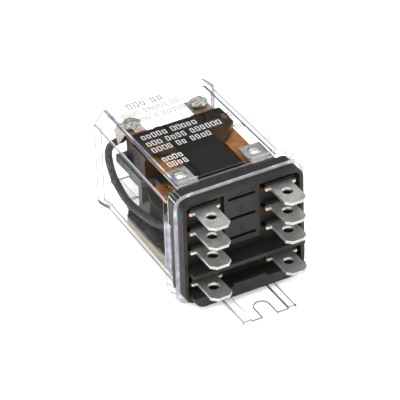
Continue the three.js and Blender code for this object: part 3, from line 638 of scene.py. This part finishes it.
eased("header", 0.18, CHARCOAL, slot="header_moulding")
HEADER_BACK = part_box("frame")[0].y
SHOULDER_STEP = 0.75 * MM  # how far a terminal's shoulders stand out beside its narrower stretches
TERMINALS = {"left": "147a", "right": "369b"}
USES = ("closed", "open", "common", "coil")
SHEARED, BARE = 2, 3  # numbers of a terminal's third and fourth material


def blade_paint(name, use):
    """Paint for a terminal: its sheared shoulders, and bare copper on an open plate behind the header."""
    low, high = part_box(name)
    centre_x = (low.x + high.x) / 2
    shoulder = (high.x - low.x) / 2 - SHOULDER_STEP

    def paint(face):
        centre = face.calc_center_median()
        if abs(centre.x - centre_x) > shoulder and abs(face.normal.z) < 0.5:
            return SHEARED
        if use == "open" and centre.y > HEADER_BACK:
            return BARE
        return None
    return paint


for side_name, _ in SIDES:
    for number, use in zip(TERMINALS[side_name], USES):
        name = f"terminal_{number}_{use}"
        shears = SHEARED_COPPER if use in ("closed", "open") else SHEARED_BRASS
        # Each blade's eased edges take the painted highlight.
        eased(name, 0.17, TIN, BRIGHT_EDGE, shears, COPPER, slot="tinned_blade",
              paint=blade_paint(name, use), edge_paint=1)


# ---------------------------------------------------------------- contacts, arms and joints

def lathe(rows, around, centre):
    """A closed surface through rings; each row gives (radius, z) for an angle, or one pole point."""
    bm = bmesh.new()
    rings = []
    for row in rows:
        if row(0)[0] < 1e-9:
            rings.append([bm.verts.new((centre.x, centre.y, row(0)[1]))])
            continue
        ring = []
        for i in range(around):
            angle = 2 * math.pi * i / around
            radius, z = row(angle)
            x, y = centre.x + radius * math.cos(angle), centre.y + radius * math.sin(angle)
            ring.append(bm.verts.new((x, y, z)))
        rings.append(ring)
    for a, b in zip(rings, rings[1:]):
        for i in range(around):
            j = (i + 1) % around
            corners = [a[i % len(a)], a[j % len(a)], b[j % len(b)], b[i % len(b)]]
            face = [v for k, v in enumerate(corners) if v not in corners[:k]]
            if len(face) > 2:
                bm.faces.new(face)
    bmesh.ops.recalc_face_normals(bm, faces=bm.faces)
    return bm


def staked_rivet(node):
    """A contact rivet whose upper head is domed and staked with two opposite dents."""
    low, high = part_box(node)
    radius = (high.x - low.x) / 2
    flange, shank, dent_depth, chamfer, step = (v * MM for v in (0.5, 1.0, 0.16, 0.1, 0.01))
    under, crown = low.z + flange * 1.1, high.z - flange

    def level(r, z):
        return lambda angle: (r, z)

    def dome(share):
        def row(angle):
            dent = dent_depth * max(0, math.cos(2 * angle)) ** 6 * math.sin(math.pi * min(1, share * 1.25))
            return radius * share, crown + flange * (1 - share ** 3) - dent
        return row

    rows = [level(0, low.z), level(radius * 0.85, low.z), level(radius, low.z + chamfer)]
    rows += [level(radius, under), level(shank, under)]
    rows += [level(shank, crown - step), level(radius, crown - step)]
    rows += [dome(share) for share in (0.99, 0.93, 0.82, 0.68, 0.52, 0.36, 0.2, 0.08)]
    rows.append(level(0, high.z - chamfer))
    mesh = finished(lathe(rows, 48, middle(node)), node + "_staked")
    smooth(mesh, 50)
    new_piece(node + "_staked", mesh, BASE, "contact_silver", SILVER, replaces=(node,))


SOLDER_FROM = 16.2 * MM  # y behind which solder covers the moving arms


def arm_paint(face):
    """Solder covers an arm's far end and the ear folded down at its outer corner."""
    return 1 if face.calc_center_median().y > SOLDER_FROM else None


for side_name, _ in SIDES:
    staked_rivet(f"closed_contact_{side_name}")
    eased(f"open_contact_{side_name}", 0.12, SILVER, slot="contact_silver")
    eased(f"moving_contact_{side_name}", 0.12, SILVER, body=ARMATURE, slot="contact_silver")
    eased(f"contact_arm_{side_name}", 0.08, COPPER, SOLDER, body=ARMATURE, slot="arm_copper",
          paint=arm_paint, seam=SOLDER_FROM)
    eased(f"carrier_rivet_{side_name}", 0.15, BLACK, body=ARMATURE, slot="black_moulding")
    eased(f"frame_screw_{side_name}", 0.12, IRON, slot="iron")


MESH_SHARE = 0.4  # longest edge of a rough surface's mesh, as a share of the size of its lumps
MOST_SPLITS = 6


def rough_copy(node, body, slot, material, lump_mm, depth_mm, seed):
    """A copy of a rounded CAD node with an uneven, hand-made surface that stays inside its own size."""
    bm = joined(node)
    longest = lump_mm * MM * MESH_SHARE
    for _ in range(MOST_SPLITS):
        bmesh.ops.triangulate(bm, faces=bm.faces)
        split = [edge for edge in bm.edges if edge.calc_length() > longest]
        if not split:
            break
        bmesh.ops.subdivide_edges(bm, edges=split, cuts=1)
    bmesh.ops.triangulate(bm, faces=bm.faces)
    bm.normal_update()
    offset = Vector((seed * 7.3, seed * 3.1, seed * 5.7))
    for vertex in bm.verts:
        push = noise.fractal(vertex.co / (lump_mm * MM) + offset, 0.8, 2.1, 4)
        vertex.co += vertex.normal * (min(0.0, push - 0.3) * depth_mm * MM)
    mesh = finished(bm, node + "_rough")
    smooth(mesh, 80)
    new_piece(node + "_rough", mesh, body, slot, material, replaces=(node,))


for side_name, side in SIDES:
    rough_copy(f"solder_joint_{side_name}", ARMATURE, "solder", SOLDER, lump_mm=1.1, depth_mm=0.45,
               seed=side + 3)


# ---------------------------------------------------------------- carrier, magnet and coil

eased("contact_carrier", 0.35, CARRIER, body=ARMATURE, slot="black_moulding")
eased("armature", 0.2, IRON, body=ARMATURE, slot="iron")
eased("frame", 0.22, IRON, slot="iron")
eased("core", 0.15, IRON, slot="iron")
eased("coil_base", 0.45, BEIGE, slot="base_moulding", steps=3)
eased("bobbin", 0.15, BLACK, slot="black_moulding")
rough_copy("coil_tape", BASE, "coil_tape", TAPE, lump_mm=1.6, depth_mm=0.5, seed=5)
for side_name, side in SIDES:
    rough_copy(f"lead_wrap_{side_name}", BASE, "coil_tape", TAPE, lump_mm=1.5, depth_mm=1.1, seed=side + 8)
for name in ("coil_winding", "coil_lead_left", "coil_lead_right"):
    nodes[name].data.materials.clear()
    nodes[name].data.materials.append(WIRE)


# ---------------------------------------------------------------- flexible leads and return spring

SWELL_SIZE = 0.9 * MM  # size of the lumps on an uneven tube


def swept(name, path, radius, around, wobble=0.0, seed=0):
    """A closed round tube along path, without twist and with a slightly uneven surface."""
    bm = bmesh.new()
    normal = Vector((1, 0, 0))
    rings = []
    for i, point in enumerate(path):
        ahead = (path[min(i + 1, len(path) - 1)] - path[max(i - 1, 0)]).normalized()
        normal = (normal - ahead * normal.dot(ahead)).normalized()
        side = ahead.cross(normal)
        ring = []
        for k in range(around):
            angle = 2 * math.pi * k / around
            out = normal * math.cos(angle) + side * math.sin(angle)
            spot = point + out * radius
            swell = noise.noise(spot / SWELL_SIZE + Vector((seed, 0, 0))) * wobble
            ring.append(bm.verts.new(spot + out * swell))
        rings.append(ring)
    for a, b in zip(rings, rings[1:]):
        for k in range(around):
            j = (k + 1) % around
            bm.faces.new((a[k], a[j], b[j], b[k]))
    bm.faces.new(rings[0][::-1])
    bm.faces.new(rings[-1])
    mesh = finished(bm, name)
    smooth(mesh, 60)
    return mesh


def spline(points, per_span):
    """Points along a smooth curve through the given ones."""
    path = []
    for i in range(len(points) - 1):
        p0, p1, p2, p3 = (points[min(max(i + k, 0), len(points) - 1)] for k in (-1, 0, 1, 2))
        for step in range(per_span):
            t = step / per_span
            path.append(0.5 * (2 * p1 + (p2 - p0) * t + (2 * p0 - 5 * p1 + 4 * p2 - p3) * t * t
                               + (3 * p1 - p0 - 3 * p2 + p3) * t ** 3))
    return path + [points[-1]]


DATUM_Y = -24.75 * MM  # the front of the terminals' shoulders
# The right lead's middle line, in mm across, behind the shoulders and up: from under the arm's far end,
# down and round the coil to its terminal.
LEAD_ROUTE = (
    (12, 44, 27.9), (12.4, 44.9, 26.6), (13.4, 46, 25.4), (14.8, 46.9, 24.1), (15.6, 47.2, 21.9),
    (15.7, 46.6, 18.8), (15.7, 44.6, 15.7), (15.6, 41.4, 13.4), (15.6, 37, 12.2), (15.6, 31.5, 12.4),
    (15.5, 25.5, 13.4), (15.3, 20.5, 14.6), (14.2, 16.8, 15.4), (12.4, 14.9, 15.6),
)
SLEEVE_RADIUS, SLEEVE_WOBBLE = 1.05 * MM, 0.09 * MM

for side_name, side in SIDES:
    route = [Vector((side * x, y, z)) * MM + Vector((0, DATUM_Y, 0)) for x, y, z in LEAD_ROUTE]
    name = f"pigtail_{side_name}"
    mesh = swept(name + "_sleeve", spline(route, 9), SLEEVE_RADIUS, 20, SLEEVE_WOBBLE, side)
    hinged_piece(name + "_sleeve", mesh, SLEEVE, name)


def return_spring():
    """A wound extension spring; each end of the wire turns in to the middle."""
    low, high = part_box("return_spring")
    centre = (low + high) / 2
    wire_radius, hook, bend = 0.3 * MM, 1.0 * MM, 0.6
    radius = (high.x - low.x) / 2 - wire_radius
    turns, per_turn = 15, 18

    def at(x, z):
        return Vector((x, centre.y, z))

    coil = []
    for i in range(turns * per_turn + 1):
        share = i / (turns * per_turn)
        angle = 2 * math.pi * turns * share
        coil.append(Vector((
            centre.x + radius * math.cos(angle), centre.y + radius * math.sin(angle),
            low.z + hook + (high.z - low.z - 2 * hook) * share,
        )))
    turn_in = centre.x + radius * bend
    path = [at(centre.x, low.z + wire_radius), at(turn_in, low.z + hook * bend), *coil,
            at(turn_in, high.z - hook * bend), at(centre.x, high.z - wire_radius)]
    mesh = swept("return_spring_coil", path, wire_radius, 8)
    hinged_piece("return_spring_coil", mesh, SPRING_STEEL, "return_spring")


return_spring()


# ---------------------------------------------------------------- cover print

INK_THICK = 0.03 * MM
INK_GAP = 0.015 * MM  # under the ink, so that its faces and the cover's never coincide
DARK_BEYOND = 38  # rows further from the shoulders than this, and those on the right, are in thin ink
# Each row: y from the shoulders, left end, height and stroke of a mark, and the marks in each group.
PRINT_ROWS = (
    (46.2, -9.3, 2.6, 0.34, (3, 2)), (42.9, -12.8, 1.9, 0.24, (4, 5, 2)), (39.3, -12.8, 1.9, 0.24, (5, 1, 8)),
    (35.6, -12.8, 2.0, 0.24, (2, 4)), (31.0, -13.0, 2.1, 0.24, (5, 5)), (27.5, -13.2, 2.1, 0.24, (3, 4, 6)),
    (24.2, -13.3, 2.1, 0.24, (4, 2, 4)), (19.1, -13.0, 2.1, 0.28, (4,)), (16.1, -13.0, 2.1, 0.28, (4,)),
    (29.4, 10.4, 2.0, 0.26, (2,)), (23.0, 10.8, 2.0, 0.26, (2,)),
)
PITCH, GROUP_GAP = 0.74, 0.7  # from mark to mark in heights, and the gap after a group in pitches


def print_mark(bm, x0, x1, y0, y1, stroke, ink):
    """One hollow rectangle of ink that lies on the cover."""
    outer = [(x0, y0), (x1, y0), (x1, y1), (x0, y1)]
    inner = [(x0 + stroke, y0 + stroke), (x1 - stroke, y0 + stroke), (x1 - stroke, y1 - stroke),
             (x0 + stroke, y1 - stroke)]
    base = top_height((y0 + y1) / 2) + INK_GAP
    lower_outer, lower_inner, upper_outer, upper_inner = (
        [bm.verts.new((x, y, z)) for x, y in ring]
        for z in (base, base + INK_THICK) for ring in (outer, inner)
    )
    for i in range(4):
        j = (i + 1) % 4
        sides = (
            (upper_outer[i], upper_outer[j], upper_inner[j], upper_inner[i]),
            (lower_outer[j], lower_outer[i], lower_inner[i], lower_inner[j]),
            (lower_outer[i], lower_outer[j], upper_outer[j], upper_outer[i]),
            (lower_inner[j], lower_inner[i], upper_inner[i], upper_inner[j]),
        )
        for corners in sides:
            bm.faces.new(corners).material_index = ink


def cover_print():
    """Rows of plain hollow marks where such a relay carries its ratings."""
    bm = bmesh.new()
    for y, left, height, stroke, groups in PRINT_ROWS:
        x = left * MM
        pitch = height * PITCH * MM
        ink = int(y > DARK_BEYOND or left > 0)
        for group in groups:
            for _ in range(group):
                wide = pitch * dice.uniform(0.62, 0.78)
                tall = height * MM * dice.choice((1.0, 1.0, 0.86))
                near = y * MM + DATUM_Y
                print_mark(bm, x, x + wide, near, near + tall, stroke * MM, ink)
                x += pitch
            x += pitch * GROUP_GAP
    new_piece("cover_print", finished(bm, "cover_print"), BASE, "clear_cover", INK, THIN_INK)


cover_print()


# ---------------------------------------------------------------- header numerals

DIGIT_HEIGHT, DIGIT_RELIEF = 2.1 * MM, 0.09 * MM
FONT_SHARE = 1.4  # a font's size against the height of its digits
NUMERALS = {"2": (0.0, 31.4), "5": (0.0, 25.4), "8": (0.0, 19.3), "1": (-11.3, 32.0), "3": (11.2, 32.0)}
header_tree = surface("header")


def numeral(text, x_mm, z_mm):
    """A raised digit moulded into the header's face, at the depth that the face has there."""
    hit = header_tree.ray_cast(Vector((x_mm * MM, -1, z_mm * MM)), Vector((0, 1, 0)))[0]
    curve = bpy.data.curves.new(f"numeral_{text}", "FONT")
    curve.body, curve.size = text, DIGIT_HEIGHT * FONT_SHARE
    curve.extrude = DIGIT_RELIEF
    curve.align_x, curve.align_y = "CENTER", "CENTER"
    letter = bpy.data.objects.new(f"numeral_{text}", curve)
    scene.collection.objects.link(letter)
    letter.rotation_euler = (math.pi / 2, 0, 0)
    letter.location = (x_mm * MM, hit.y, z_mm * MM)
    curve.materials.append(CHARCOAL)
    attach(letter, BASE)


for text, (x_mm, z_mm) in NUMERALS.items():
    numeral(text, x_mm, z_mm)


# ---------------------------------------------------------------- floor and light

FLOOR_HALF, FLOOR_DROP, FLOOR_GLOW = 3, 0.1 * MM, 0.35
# Brightness of the studio: how steeply one looks up, from 0, level or down, to 1, and the light there.
ROOM = ((0.0, 0.30), (0.5, 0.34), (0.72, 0.7), (0.88, 1.5), (1.0, 1.7))
# Each lamp: its place, the height that it aims at over the middle of the floor, its width and power.
LAMPS = {
    "key": ((-0.35, -0.25, 0.55), 0.01, 0.35, 1.9),
    "top": ((0.1, 0.15, 0.7), 0.01, 0.5, 1.4),
    "front": ((-0.3, -0.75, 0.35), 0.015, 0.5, 3.8),
    "right": ((0.7, -0.15, 0.32), 0.01, 0.5, 3.5),
    "left": ((-0.75, 0.1, 0.3), 0.01, 0.5, 2.5),
}


def add_floor():
    """A plain pale sheet that the relay lies on."""
    bm = bmesh.new()
    bmesh.ops.create_grid(bm, x_segments=1, y_segments=1, size=FLOOR_HALF)
    mesh = finished(bm, "floor")
    floor = bpy.data.objects.new("floor", mesh)
    floor.location.z = -FLOOR_DROP
    scene.collection.objects.link(floor)
    look = Look("floor_paper", Roughness=0.9, Specular_IOR_Level=0.1)
    paper = look.ramp(look.noise(0.02), (0.3, 0.90), (0.7, 0.93))
    look.feed("Base Color", paper).feed("Emission Color", paper)
    look.shader.inputs["Emission Strength"].default_value = FLOOR_GLOW
    mesh.materials.append(look.material)


def add_world():
    """A plain studio that is brightest overhead."""
    world = bpy.data.worlds.new("studio")
    world.use_nodes = True
    tree = world.node_tree
    place = tree.nodes.new("ShaderNodeTexCoord")
    split = tree.nodes.new("ShaderNodeSeparateXYZ")
    ramp = tree.nodes.new("ShaderNodeValToRGB")
    tree.links.new(place.outputs["Generated"], split.inputs[0])
    tree.links.new(split.outputs["Z"], ramp.inputs["Fac"])
    tree.links.new(ramp.outputs["Color"], tree.nodes["Background"].inputs["Color"])
    tree.nodes["Background"].inputs["Strength"].default_value = 1.0
    while len(ramp.color_ramp.elements) < len(ROOM):
        ramp.color_ramp.elements.new(0.5)
    for element, (position, value) in zip(ramp.color_ramp.elements, ROOM):
        element.position, element.color = position, (value, value, value, 1)
    scene.world = world


def add_light(name, place, aim_height, size, power):
    """A square soft lamp."""
    data = bpy.data.lights.new(name, "AREA")
    data.shape, data.size, data.energy = "SQUARE", size, power
    lamp = bpy.data.objects.new(name, data)
    lamp.location = place
    lamp.rotation_mode = "QUATERNION"
    lamp.rotation_quaternion = (Vector((0, 0, aim_height)) - Vector(place)).to_track_quat("-Z", "Y")
    scene.collection.objects.link(lamp)


add_floor()
add_world()
for name, settings in LAMPS.items():
    add_light(name, *settings)
scene.view_settings.view_transform = "Standard"
